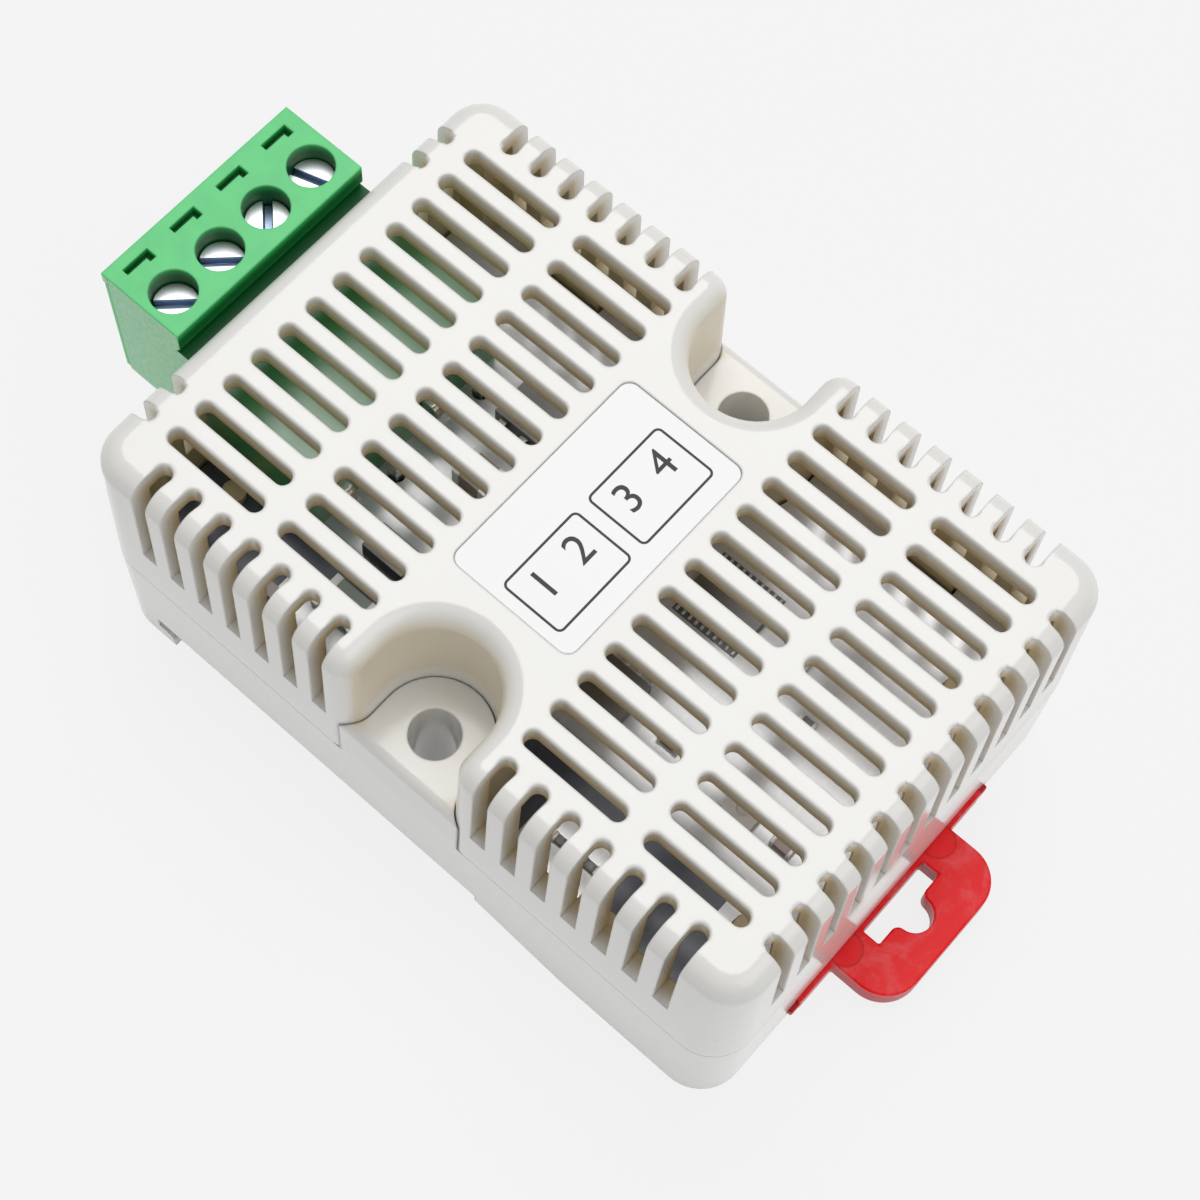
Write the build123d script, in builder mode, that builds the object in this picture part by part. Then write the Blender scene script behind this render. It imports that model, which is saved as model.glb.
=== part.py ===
"""A vented temperature and humidity transmitter for a mounting rail or a wall.

The case is an off-white base with a snapped-on vented cover. A green terminal plug enters at
the -X end and a red rail latch slides out at the +X end. The feet stand on z = 0, the long
sides face -Y and +Y, and the origin is under the middle of the whole outline.
"""

import os
from math import radians, tan

from build123d import *

os.makedirs("parts", exist_ok=True)

# Case
case_length = 65.5
case_width = 45.5
case_height = 28.5
corner_radius = 3.8
top_edge_radius = 1.9
draft_angle = 2.0
wall = 1.9
roof = 2.0
overrun = 1.0

# Seam between base and cover
fit_gap = 0.1
lip_thickness = 0.9
lip_height = 1.5

# Vent slots
slot_length = 9.5
slot_width = 1.45
slot_rows = 12
column_shares = (0.3713, 0.7221)
side_slot_pitch = 3.02
side_slot_count = 7
side_slot_middle = 17.24
side_slot_inset = 4.1
side_slot_gap = 2.15
end_slot_inset = 2.65
terminal_end_slots = 2
edge_slot_drop = 11.0

# Label
label_length = 11.9
label_width = 20.3
label_corner = 1.0
label_recess = 0.3
label_thickness = 0.2
label_gap = 0.05

# Screw ears
ear_inset = 4.4
ear_hole = 4.2
ear_radius = 4.6
ear_rise = 5.7
ear_edge_radius = 0.9
flare_radius = 2.3

# Snap tabs that hold the cover down
tab_spacing_share = 0.58
tab_width = 5.0
tab_thickness = 1.1
tab_foot_share = 0.4583
tab_root_rise = 2.9
tab_rise = 5.1
barb_height = 1.4
barb_reach = 0.65
barb_pocket = 0.75

# Corner pillars that press on the board
pillar = 3.6
pillar_bite = 0.8

# Mounting rail and the feet
rail_width = 35.0
rail_sheet = 1.0
rail_gap = 0.1
rail_depth = 3.1
rail_edge = 7.4
rail_play = 0.4
hook_hold = 1.6
hook_bevel = 0.5
foot_start = 8.0
foot_step = 2.0
ramp_end = 17.2
floor_height = 4.9

# Rail latch
latch_stretch = 6.35
latch_lift = 0.25
latch_thickness = 2.6
latch_width = 23.6
latch_gap = 0.15
latch_proud = 0.4
latch_travel = 4.0
stop_gap = 0.3
nose_hold = 1.4
nose_width = 16.0
nose_length = 5.0
nose_bevel = 0.7
tongue_width = 15.0
rear_block = 8.0
flange_reach = 1.0
flange_thickness = 1.1
arm_start = 11.8
arm_width = 1.3
arm_bump = 1.6
bump_length = 2.2
handle_width = 15.2
handle_corner = 3.3
finger_width = 7.8
finger_depth = 1.7
keyhole_radius = 1.6
keyhole_depth = 2.15
keyhole_corner = 0.7

# Circuit board
board_thickness = 1.6
board_rise = 1.2
board_gap = 0.25
post_radius = 2.0
peg_radius = 1.0
peg_gap = 0.1
peg_rise = 0.8
peg_end_inset = 5.75
peg_side_inset = 9.75

# Terminal plug
poles = 4
pole_pitch = 5.08
terminal_shift = -0.3
plug_stretch = 9.05
plug_margin = 0.09
plug_height = 15.0
plug_lip_depth = 8.2
plug_depth = 9.5
plug_ledge_drop = 2.8
groove_depth = 0.45
nose_reach = 8.8
nose_gap = 0.25
front_plate = 0.6
front_drop = 1.2
front_inset = 0.12
key_leg = 2.66
key_foot = 1.05
key_width = 0.63
key_depth = 1.0
key_inset = 1.0

# Terminal screws, one to a pole
screw_inset = 5.2
screw_hole = 3.9
head_height = 1.5
head_sink = 2.0
head_seat_gap = 0.05
drive_slot_width = 0.7
drive_slot_depth = 0.8
shank_radius = 1.4
running_gap = 0.08
screw_turns_shares = (0.125, 0.125, -0.125, 0.05)
full_turn = 360

# Wire clamps
clamp_length = 4.2
clamp_width = 4.0
clamp_height = 6.2
clamp_side = 0.5
clamp_floor = 0.8
clamp_top = 1.2
clamp_rest = 0.2
clamp_travel = 2.25
clamp_head_gap = 0.3
chamber_floor = 0.7
chamber_side_gap = 0.1
chamber_end_gap = 0.3
wire_width = 3.0
wire_height = 3.6
wire_funnel = 0.4

# Contacts and header
pin_drop = 10.9
pin_side = 1.0
pin_tip_inset = 2.0
pin_row_gap = 1.4
pin_tail = 1.2
pin_bend = 0.9
pin_gap = 0.05
pin_hole_gap = 0.05
socket_gap = 0.1
socket_wall = 0.7
socket_roof = 0.8
socket_length = 7.6
socket_end_gap = 0.6
bar_width = 2.4
bar_end_gap = 0.3
cavity_gap = 0.2
header_inset = 0.75
header_depth = 12.0
header_margin = 0.79
header_height = 8.6
header_wall = 0.9
header_back = 1.2
opening_gap = 0.3

# Parts on the board, whose places are shares of the case's half length and half width
chip_standoff = 0.1
lead_thickness = 0.18
lead_shares = (0.2, 0.35, 0.5, 0.65)
controller_shares = (0.272, 0.29)
controller_body = (6.5, 4.4, 1.0)
controller_leads = 10
controller_lead_pitch = 0.65
controller_lead_width = 0.25
controller_lead_reach = 1.0
transceiver_shares = (0.2046, -0.233)
transceiver_body = (4.9, 3.9, 1.5)
transceiver_leads = 4
transceiver_lead_pitch = 1.27
transceiver_lead_width = 0.42
transceiver_lead_reach = 1.05
sensor_shares = (0.638, -0.2637)
sensor_side = 3.0
sensor_height = 1.1
sensor_hole = 1.2
sensor_hole_depth = 0.5
regulator_shares = (-0.391, 0.3516)
regulator_body = (6.5, 3.5, 1.6)
regulator_leads = 3
regulator_lead_pitch = 2.3
regulator_lead_width = 0.7
regulator_lead_reach = 1.75
regulator_tab_width = 3.0
diode_shares = (-0.4153, -0.378)
diode_body = (4.3, 2.6, 2.1)
diode_lead_width = 1.5
diode_lead_reach = 0.5
fuse_shares = (-0.4153, -0.6242)
fuse_body = (4.5, 3.2, 0.9)
capacitor_shares = (-0.403, 0.0527)
capacitor_body = (3.5, 2.8, 1.9)
cap_end = 0.7
small_cap_end = 0.35
cap_proud = 0.04
resistor_body = (1.6, 0.8, 0.45)
resistor_shares = (
    (0.458, -0.756), (0.3664, -0.756), (0, 0.1319), (0, 0.2198), (0.6107, 0.1319), (0.6107, 0.2198),
)
small_capacitor_body = (2.0, 1.25, 0.85)
small_capacitor_shares = (
    (-0.58, -0.756), (0.4947, 0.29), (0.397, -0.233), (0.7634, -0.2637), (-0.1832, 0.3516),
)

# Where the case stands, and places along it worked out from the sizes above
half_length = case_length / 2
half_width = case_width / 2
plug_reach = half_length + plug_stretch
latch_reach = half_length + latch_stretch
case_x = (plug_reach - latch_reach) / 2
pin_height = case_height - pin_drop
board_top = pin_height - header_height / 2
board_bottom = board_top - board_thickness
seam_height = board_top - board_rise
tab_spacing = case_length * tab_spacing_share
tab_foot = floor_height + tab_foot_share * (seam_height - floor_height)
tab_root = seam_height + tab_root_rise
tab_top = seam_height + tab_rise
ear_spacing = case_width - 2 * ear_inset
ear_height = seam_height + ear_rise
slot_columns = [side * half_length * share for share in column_shares for side in (-1, 1)]
side_slot_start = half_width - side_slot_inset
slot_pitch = 2 * (side_slot_start - side_slot_gap) / (slot_rows - 1)
end_slot_start = half_length - end_slot_inset
edge_slot_foot = case_height - edge_slot_drop
peg_length_spacing = case_length - 2 * peg_end_inset
peg_width_spacing = case_width - 2 * peg_side_inset
hook_tip = rail_edge - rail_width + hook_hold
hook_root = rail_edge - rail_width - rail_gap
hook_top = rail_depth - rail_sheet - rail_play
latch_end = half_length + latch_proud
block_x = latch_end - rear_block
flange_bottom = latch_lift + (latch_thickness - flange_thickness) / 2
nose_tip = rail_edge - nose_hold
nose_root = nose_tip + nose_length
nose_top = rail_depth - rail_sheet - latch_lift
header_x = header_inset - half_length
header_width = poles * pole_pitch + 2 * header_margin
header_end = header_x + header_depth
plug_x = -plug_reach
plug_width = poles * pole_pitch + 2 * plug_margin
plug_back = plug_x + plug_depth
plug_bottom = case_height - plug_height
nose_end = plug_back + nose_reach
screw_x = plug_x + screw_inset
pole_rows = [terminal_shift + (pole - (poles - 1) / 2) * pole_pitch for pole in range(poles)]
pin_x = header_end + pin_row_gap
pin_hole = pin_side / 2 * 2**0.5 + pin_hole_gap
socket_side = pin_side + 2 * socket_gap
socket_width = socket_side + 2 * socket_wall
socket_height = socket_side + 2 * socket_roof
socket_end = nose_end - socket_end_gap
bar_top = pin_height + socket_height / 2
bar_bottom = bar_top - socket_roof
head_radius = screw_hole / 2 - running_gap
head_top = case_height - head_sink
head_bottom = head_top - head_height
chamber_bottom = plug_bottom + chamber_floor
clamp_bottom = chamber_bottom + clamp_rest
chamber_top = clamp_bottom + clamp_height + clamp_travel + clamp_head_gap
chamber_end = screw_x + clamp_length / 2 + chamber_end_gap
neck_length = head_bottom - head_seat_gap - chamber_top
wire_middle = (clamp_bottom + clamp_floor + bar_bottom) / 2


def level(height, x=0, y=0):
    """A horizontal plane at a height above the feet, centred on the case or on a place in it."""
    return Plane((case_x + x, y, height))


def upright(y=0):
    """An upright plane along the case, drawn in X and Z from the case's middle, facing -Y."""
    return Plane((case_x, y, 0), x_dir=(1, 0, 0), z_dir=(0, -1, 0))


def crosswise(x, y=0):
    """An upright plane across the case, drawn in Y and Z, facing +X."""
    return Plane((case_x + x, y, 0), x_dir=(0, 1, 0), z_dir=(1, 0, 0))


def on_board(shares):
    """A place on the board, from shares of the case's half length and half width."""
    return shares[0] * half_length, shares[1] * half_width


def save(part, name):
    """Labels a finished piece and writes its file."""
    part.label = name
    export_step(part, f"parts/{name}.step")


def outline(inset):
    """The cover's plan: a rounded rectangle with a flared screw recess let into each long side."""
    with BuildSketch() as plan:
        RectangleRounded(case_length, case_width, corner_radius)
        with GridLocations(0, ear_spacing, 1, 2):
            Circle(ear_radius, mode=Mode.SUBTRACT)
        with GridLocations(0, case_width + overrun, 1, 2):
            Rectangle(2 * ear_radius, case_width + overrun - ear_spacing, mode=Mode.SUBTRACT)
        mouths = plan.vertices().filter_by(lambda v: abs(v.X) < ear_radius + fit_gap)
        fillet(mouths.filter_by(lambda v: abs(v.Y) > half_width - fit_gap), flare_radius)
        if inset:
            offset(amount=-inset, kind=Kind.INTERSECTION)
    return plan.sketch


cover_plan = outline(0)
wall_plan = outline(wall)
lip_plan = outline(wall - lip_thickness)
rebate_plan = outline(wall - lip_thickness - fit_gap)

# The vented cover
terminal_half = header_width / 2 + opening_gap
side_slot_reach = half_width + overrun + slot_width - side_slot_start
end_slot_reach = half_length + overrun + slot_width - end_slot_start
with BuildPart() as top_cover:
    with BuildSketch(level(seam_height)):
        add(cover_plan)
    extrude(amount=case_height - seam_height, taper=draft_angle)
    fillet(top_cover.faces().sort_by(Axis.Z)[-1].outer_wire().edges(), top_edge_radius)
    with BuildSketch(level(seam_height)):
        add(wall_plan)
    extrude(amount=case_height - roof - seam_height, taper=draft_angle, mode=Mode.SUBTRACT)
    # pillars that reach down to the board's corners
    pillar_shift = wall + pillar / 2 - pillar_bite
    with BuildSketch(level(board_top + fit_gap)):
        with GridLocations(case_length - 2 * pillar_shift, case_width - 2 * pillar_shift, 2, 2):
            Rectangle(pillar, pillar)
    extrude(amount=case_height - roof - board_top)
    # rebate that takes the base's lip
    with BuildSketch(level(seam_height)):
        add(rebate_plan)
        add(wall_plan, mode=Mode.SUBTRACT)
    extrude(amount=lip_height + fit_gap, mode=Mode.SUBTRACT)
    # vent slots through the top
    with BuildSketch(level(case_height + overrun)):
        with Locations(*[(x, 0) for x in slot_columns]):
            with GridLocations(0, slot_pitch, 1, slot_rows):
                SlotOverall(slot_length, slot_width)
    extrude(amount=-(roof + 2 * overrun), mode=Mode.SUBTRACT)
    # vent slots over the long edges
    with BuildSketch(level(case_height + overrun)):
        with Locations((-side_slot_middle, 0), (side_slot_middle, 0)):
            with GridLocations(side_slot_pitch, 2 * side_slot_start + side_slot_reach, side_slot_count, 2):
                SlotOverall(side_slot_reach, slot_width, rotation=90)
    extrude(amount=edge_slot_foot - case_height - overrun, mode=Mode.SUBTRACT)
    # vent slots over the short edges, only beside the terminals at the -X end
    end_slot_x = end_slot_start + end_slot_reach / 2
    end_rows = [(row - (slot_rows - 1) / 2) * slot_pitch for row in range(slot_rows)]
    outer_rows = end_rows[:terminal_end_slots] + end_rows[-terminal_end_slots:]
    with BuildSketch(level(case_height + overrun)):
        with Locations(*[(end_slot_x, y) for y in end_rows], *[(-end_slot_x, y) for y in outer_rows]):
            SlotOverall(end_slot_reach, slot_width)
    extrude(amount=edge_slot_foot - case_height - overrun, mode=Mode.SUBTRACT)
    # opening for the terminal plug
    with BuildSketch(level(seam_height)):
        with Locations((-half_length, terminal_shift)):
            Rectangle(2 * (wall + overrun), 2 * terminal_half)
    extrude(amount=case_height - roof - seam_height, mode=Mode.SUBTRACT)
    # snap tabs on the long walls, with their roots and barbs
    tab_y = half_width - wall - fit_gap - tab_thickness / 2
    with BuildSketch(level(tab_foot)):
        with GridLocations(tab_spacing, 2 * tab_y, 2, 2):
            Rectangle(tab_width, tab_thickness)
    extrude(amount=tab_top - tab_foot)
    root_depth = tab_thickness + wall / 2
    with BuildSketch(level(tab_root)):
        with GridLocations(tab_spacing, 2 * (half_width - wall / 2 - root_depth / 2 - fit_gap), 2, 2):
            Rectangle(tab_width, root_depth)
    extrude(amount=tab_top - tab_root)
    barb_y = half_width - wall - fit_gap
    for tab_x in (-tab_spacing / 2, tab_spacing / 2):
        with BuildSketch(crosswise(tab_x - tab_width / 2)):
            with BuildLine():
                Polyline(
                    (barb_y - tab_thickness / 2, tab_foot),
                    (barb_y + barb_reach / 4, tab_foot),
                    (barb_y + barb_reach, tab_foot + barb_height),
                    (barb_y - tab_thickness / 2, tab_foot + barb_height),
                    close=True,
                )
            make_face()
            mirror(about=Plane.YZ)
        extrude(amount=tab_width)
    # label recess
    with BuildSketch(level(case_height)):
        RectangleRounded(label_length, label_width, label_corner)
    extrude(amount=-label_recess, mode=Mode.SUBTRACT)
save(top_cover.part, "top_cover")

# The base: a tray with the screw ears, the feet, the rail channel and the latch's guide
with BuildPart() as base_shell:
    with BuildSketch(level(0)):
        RectangleRounded(case_length, case_width, corner_radius)
    extrude(amount=seam_height)
    with BuildSketch(level(floor_height)):
        add(wall_plan)
    extrude(amount=seam_height - floor_height, mode=Mode.SUBTRACT)
    # screw ears, round-edged in front, that fill the cover's recesses with a gap all round
    ear_lean = ear_rise * tan(radians(draft_angle))
    with BuildSketch(crosswise(0)) as ear_profile:
        with BuildLine():
            Polyline(
                (-half_width, seam_height),
                (-half_width + ear_lean, ear_height),
                (half_width - ear_lean, ear_height),
                (half_width, seam_height),
                close=True,
            )
        make_face()
        fillet(ear_profile.vertices().group_by(Axis.Y)[-1], ear_edge_radius)
    extrude(amount=ear_radius + flare_radius, both=True)
    with BuildSketch(level(seam_height)):
        add(outline(-fit_gap))
    extrude(amount=ear_rise + overrun, taper=draft_angle, mode=Mode.SUBTRACT)
    # lip that enters the cover, left out under the terminals
    with BuildSketch(level(seam_height)):
        add(lip_plan)
        add(wall_plan, mode=Mode.SUBTRACT)
        with Locations((-half_length, terminal_shift)):
            Rectangle(2 * (wall + overrun), 2 * terminal_half, mode=Mode.SUBTRACT)
    extrude(amount=lip_height)
    # posts under the board, with pegs through it
    with BuildSketch(level(floor_height)):
        with GridLocations(peg_length_spacing, peg_width_spacing, 2, 2):
            Circle(post_radius)
    extrude(amount=board_bottom - floor_height)
    with BuildSketch(level(board_bottom)):
        with GridLocations(peg_length_spacing, peg_width_spacing, 2, 2):
            Circle(peg_radius)
    extrude(amount=board_thickness + peg_rise)
    # channel for the rail, with the fixed hook on its -X side and a ramp on the other
    with BuildSketch(upright()):
        with BuildLine():
            Polyline(
                (hook_tip, -overrun),
                (hook_tip, hook_top - hook_bevel),
                (hook_tip - hook_bevel, hook_top),
                (hook_root, hook_top),
                (hook_root, rail_depth),
                (foot_start, rail_depth),
                (foot_start, foot_step),
                (ramp_end, 0),
                (ramp_end, -overrun),
                close=True,
            )
        make_face()
    extrude(amount=half_width + overrun, both=True, mode=Mode.SUBTRACT)
    # channel for the latch, open at the +X end
    channel_start = foot_start - rail_gap
    channel_length = half_length + overrun - channel_start
    with BuildSketch(level(0)):
        with Locations((channel_start + channel_length / 2, 0)):
            Rectangle(channel_length, latch_width + 2 * latch_gap)
    extrude(amount=rail_depth, mode=Mode.SUBTRACT)
    # grooves that carry the latch's flanges
    groove_length = rear_block + latch_gap + overrun
    with BuildSketch(level(flange_bottom - fit_gap)):
        with Locations((block_x - latch_gap + groove_length / 2, 0)):
            Rectangle(groove_length, latch_width + 2 * (flange_reach + latch_gap))
    extrude(amount=flange_thickness + 2 * fit_gap, mode=Mode.SUBTRACT)
    # pocket whose far end stops the arms' bumps
    stop_length = bump_length + latch_travel + latch_gap + stop_gap
    with BuildSketch(level(0)):
        with Locations((arm_start - latch_gap + stop_length / 2, 0)):
            Rectangle(stop_length, latch_width + 2 * (arm_bump + latch_gap))
    extrude(amount=rail_depth, mode=Mode.SUBTRACT)
    # bores of the screw ears
    with BuildSketch(level(ear_height)):
        with GridLocations(0, ear_spacing, 1, 2):
            Circle(ear_hole / 2)
    extrude(amount=-ear_height, mode=Mode.SUBTRACT)
    # pockets for the cover's barbs
    with BuildSketch(level(tab_foot - fit_gap)):
        with GridLocations(tab_spacing, 2 * (half_width - wall), 2, 2):
            Rectangle(tab_width + 2 * board_gap, 2 * barb_pocket)
    extrude(amount=barb_height + 2 * fit_gap, mode=Mode.SUBTRACT)
save(base_shell.part, "base_shell")

# The rail latch: nose, tongue, sprung arms, flanged block and handle in one moulding
with BuildPart() as rail_latch:
    with BuildSketch(level(latch_lift)):
        with Locations(((nose_root + block_x) / 2, 0)):
            Rectangle(block_x - nose_root, tongue_width)
        with Locations((block_x + rear_block / 2, 0)):
            Rectangle(rear_block, latch_width)
        with Locations(((arm_start + block_x) / 2, 0)):
            with GridLocations(0, latch_width - arm_width, 1, 2):
                Rectangle(block_x - arm_start, arm_width)
        with BuildLine():
            Polyline(
                (arm_start, latch_width / 2 - arm_width / 2),
                (arm_start, latch_width / 2),
                (arm_start + bump_length / 2, latch_width / 2 + arm_bump),
                (arm_start + bump_length, latch_width / 2 + arm_bump),
                (arm_start + bump_length, latch_width / 2 - arm_width / 2),
                close=True,
            )
        bump = make_face()
        mirror(bump, about=Plane.XZ)
    extrude(amount=latch_thickness)
    with BuildSketch(level(flange_bottom)):
        with Locations((block_x + rear_block / 2, 0)):
            Rectangle(rear_block, latch_width + 2 * flange_reach)
    extrude(amount=flange_thickness)
    # handle with rounded outer corners
    with BuildSketch(level(latch_lift)) as handle:
        with Locations(((latch_end + latch_reach) / 2, 0)):
            Rectangle(latch_reach - latch_end, handle_width)
        fillet(handle.vertices().group_by(Axis.X)[-1], handle_corner)
    extrude(amount=latch_thickness)
    # finger opening with its round notch, for a screwdriver's tip
    with BuildSketch(level(latch_lift)) as finger_opening:
        with Locations((latch_end + finger_depth / 2, 0)):
            Rectangle(finger_depth, finger_width)
        with Locations((latch_end + finger_depth + keyhole_depth - keyhole_radius, 0)):
            Circle(keyhole_radius)
        mouth = finger_opening.vertices().filter_by(lambda v: 0 < abs(v.Y) < keyhole_radius)
        fillet(mouth.filter_by(lambda v: v.X < latch_end + finger_depth + fit_gap), keyhole_corner)
    extrude(amount=latch_thickness, mode=Mode.SUBTRACT)
    # thin bevelled nose that reaches under the rail's edge
    with BuildSketch(upright()):
        with BuildLine():
            Polyline(
                (nose_tip, latch_lift),
                (nose_root, latch_lift),
                (nose_root, nose_top),
                (nose_tip + nose_bevel, nose_top),
                (nose_tip, nose_top - nose_bevel),
                close=True,
            )
        make_face()
    extrude(amount=nose_width / 2, both=True)
save(rail_latch.part, "rail_latch")

# The label in its recess
with BuildPart() as front_label:
    with BuildSketch(level(case_height - label_recess)):
        RectangleRounded(label_length - 2 * label_gap, label_width - 2 * label_gap, label_corner)
    extrude(amount=label_thickness)
save(front_label.part, "front_label")

# The board, notched for the cover's tabs and drilled for the pegs and the header's pins
with BuildPart() as circuit_board:
    with BuildSketch(level(board_bottom)):
        add(outline(wall + board_gap))
        notch_depth = fit_gap + tab_thickness
        notch_y = half_width - wall - board_gap - notch_depth / 2
        with GridLocations(tab_spacing, 2 * notch_y, 2, 2):
            Rectangle(tab_width + 2 * board_gap, notch_depth, mode=Mode.SUBTRACT)
        with GridLocations(peg_length_spacing, peg_width_spacing, 2, 2):
            Circle(peg_radius + peg_gap, mode=Mode.SUBTRACT)
        with Locations(*[(pin_x, y) for y in pole_rows]):
            Circle(pin_hole, mode=Mode.SUBTRACT)
    extrude(amount=board_thickness)
save(circuit_board.part, "circuit_board")


def chip_body(place, body):
    """A chip's moulded body, just off the board."""
    with BuildSketch(level(board_top + chip_standoff, *place)) as plan:
        Rectangle(body[0], body[1])
    extrude(plan.sketch, amount=body[2])


def lead_row(place, body, facing, count, pitch, width, reach):
    """Bent leads on one side of a chip: out at mid height, down, and flat along the board."""
    side = body[1] / 2
    middle = board_top + chip_standoff + body[2] / 2
    heel, knee, ankle, toe = [side + reach * share for share in lead_shares]
    for lead in range(count):
        x = place[0] + (lead - (count - 1) / 2) * pitch
        points = [
            (side - lead_thickness, middle - lead_thickness / 2),
            (heel, middle - lead_thickness / 2),
            (ankle, board_top),
            (side + reach, board_top),
            (side + reach, board_top + lead_thickness),
            (toe, board_top + lead_thickness),
            (knee, middle + lead_thickness / 2),
            (side - lead_thickness, middle + lead_thickness / 2),
        ]
        with BuildSketch(crosswise(x, place[1])) as profile:
            with BuildLine():
                Polyline(*[(facing * y, z) for y, z in points], close=True)
            make_face()
        extrude(profile.sketch, amount=width / 2, both=True)


def capped_block(place, body, cap):
    """A small part between two metal ends that stand slightly proud of it."""
    with BuildSketch(level(board_top + cap_proud, *place)) as middle:
        Rectangle(body[0] - cap, body[1] - 2 * cap_proud)
    extrude(middle.sketch, amount=body[2] - 2 * cap_proud)
    with BuildSketch(level(board_top, *place)) as ends:
        with GridLocations(body[0] - cap, 0, 2, 1):
            Rectangle(cap, body[1])
    extrude(ends.sketch, amount=body[2])


# The chips, which stand on their leads
controller_place = on_board(controller_shares)
with BuildPart() as microcontroller:
    chip_body(controller_place, controller_body)
    for side in (-1, 1):
        lead_row(
            controller_place, controller_body, side, controller_leads,
            controller_lead_pitch, controller_lead_width, controller_lead_reach,
        )
save(microcontroller.part, "microcontroller")

transceiver_place = on_board(transceiver_shares)
with BuildPart() as bus_transceiver:
    chip_body(transceiver_place, transceiver_body)
    for side in (-1, 1):
        lead_row(
            transceiver_place, transceiver_body, side, transceiver_leads,
            transceiver_lead_pitch, transceiver_lead_width, transceiver_lead_reach,
        )
save(bus_transceiver.part, "bus_transceiver")

regulator_place = on_board(regulator_shares)
with BuildPart() as voltage_regulator:
    chip_body(regulator_place, regulator_body)
    lead_row(
        regulator_place, regulator_body, -1, regulator_leads,
        regulator_lead_pitch, regulator_lead_width, regulator_lead_reach,
    )
    lead_row(
        regulator_place, regulator_body, 1, 1,
        regulator_lead_pitch, regulator_tab_width, regulator_lead_reach,
    )
save(voltage_regulator.part, "voltage_regulator")

diode_place = on_board(diode_shares)
with BuildPart() as surge_diode:
    chip_body(diode_place, diode_body)
    with BuildSketch(level(board_top, *diode_place)):
        Rectangle(diode_body[0] + 2 * diode_lead_reach, diode_lead_width)
    extrude(amount=lead_thickness)
save(surge_diode.part, "surge_diode")

# The sensor chip, whose round hole lets the air in
sensor_place = on_board(sensor_shares)
with BuildPart() as climate_sensor:
    with BuildSketch(level(board_top, *sensor_place)):
        Rectangle(sensor_side, sensor_side)
    extrude(amount=sensor_height)
    with BuildSketch(level(board_top + sensor_height, *sensor_place)):
        Circle(sensor_hole / 2)
    extrude(amount=-sensor_hole_depth, mode=Mode.SUBTRACT)
save(climate_sensor.part, "climate_sensor")

with BuildPart() as fuse:
    capped_block(on_board(fuse_shares), fuse_body, cap_end)
save(fuse.part, "fuse")

with BuildPart() as input_capacitor:
    capped_block(on_board(capacitor_shares), capacitor_body, cap_end)
save(input_capacitor.part, "input_capacitor")

with BuildPart() as chip_resistors:
    for shares in resistor_shares:
        capped_block(on_board(shares), resistor_body, small_cap_end)
save(chip_resistors.part, "chip_resistors")

with BuildPart() as chip_capacitors:
    for shares in small_capacitor_shares:
        capped_block(on_board(shares), small_capacitor_body, small_cap_end)
save(chip_capacitors.part, "chip_capacitors")

# The header on the board, open towards the plug
with BuildPart() as header_housing:
    with BuildSketch(crosswise(header_x)):
        with Locations((terminal_shift, pin_height)):
            Rectangle(header_width, header_height)
    extrude(amount=header_depth)
    with BuildSketch(crosswise(header_x)):
        with Locations((terminal_shift, pin_height)):
            Rectangle(header_width - 2 * header_wall, header_height - 2 * header_wall)
    extrude(amount=header_depth - header_back, mode=Mode.SUBTRACT)
    with BuildSketch(crosswise(header_end)):
        with Locations(*[(y, pin_height) for y in pole_rows]):
            Rectangle(pin_side + 2 * pin_gap, pin_side + 2 * pin_gap)
    extrude(amount=-header_back, mode=Mode.SUBTRACT)
save(header_housing.part, "header_housing")

# Its square pins, bent down into the board
with BuildPart() as header_pins:
    for y in pole_rows:
        with BuildSketch(upright(y)) as pin:
            with BuildLine():
                Polyline(
                    (header_x + pin_tip_inset, pin_height - pin_side / 2),
                    (pin_x - pin_side / 2, pin_height - pin_side / 2),
                    (pin_x - pin_side / 2, board_bottom - pin_tail),
                    (pin_x + pin_side / 2, board_bottom - pin_tail),
                    (pin_x + pin_side / 2, pin_height + pin_side / 2),
                    (header_x + pin_tip_inset, pin_height + pin_side / 2),
                    close=True,
                )
            make_face()
            fillet(pin.vertices().group_by(Axis.X)[-1].sort_by(Axis.Y)[-1], pin_bend)
        extrude(amount=pin_side / 2, both=True)
save(header_pins.part, "header_pins")

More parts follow.
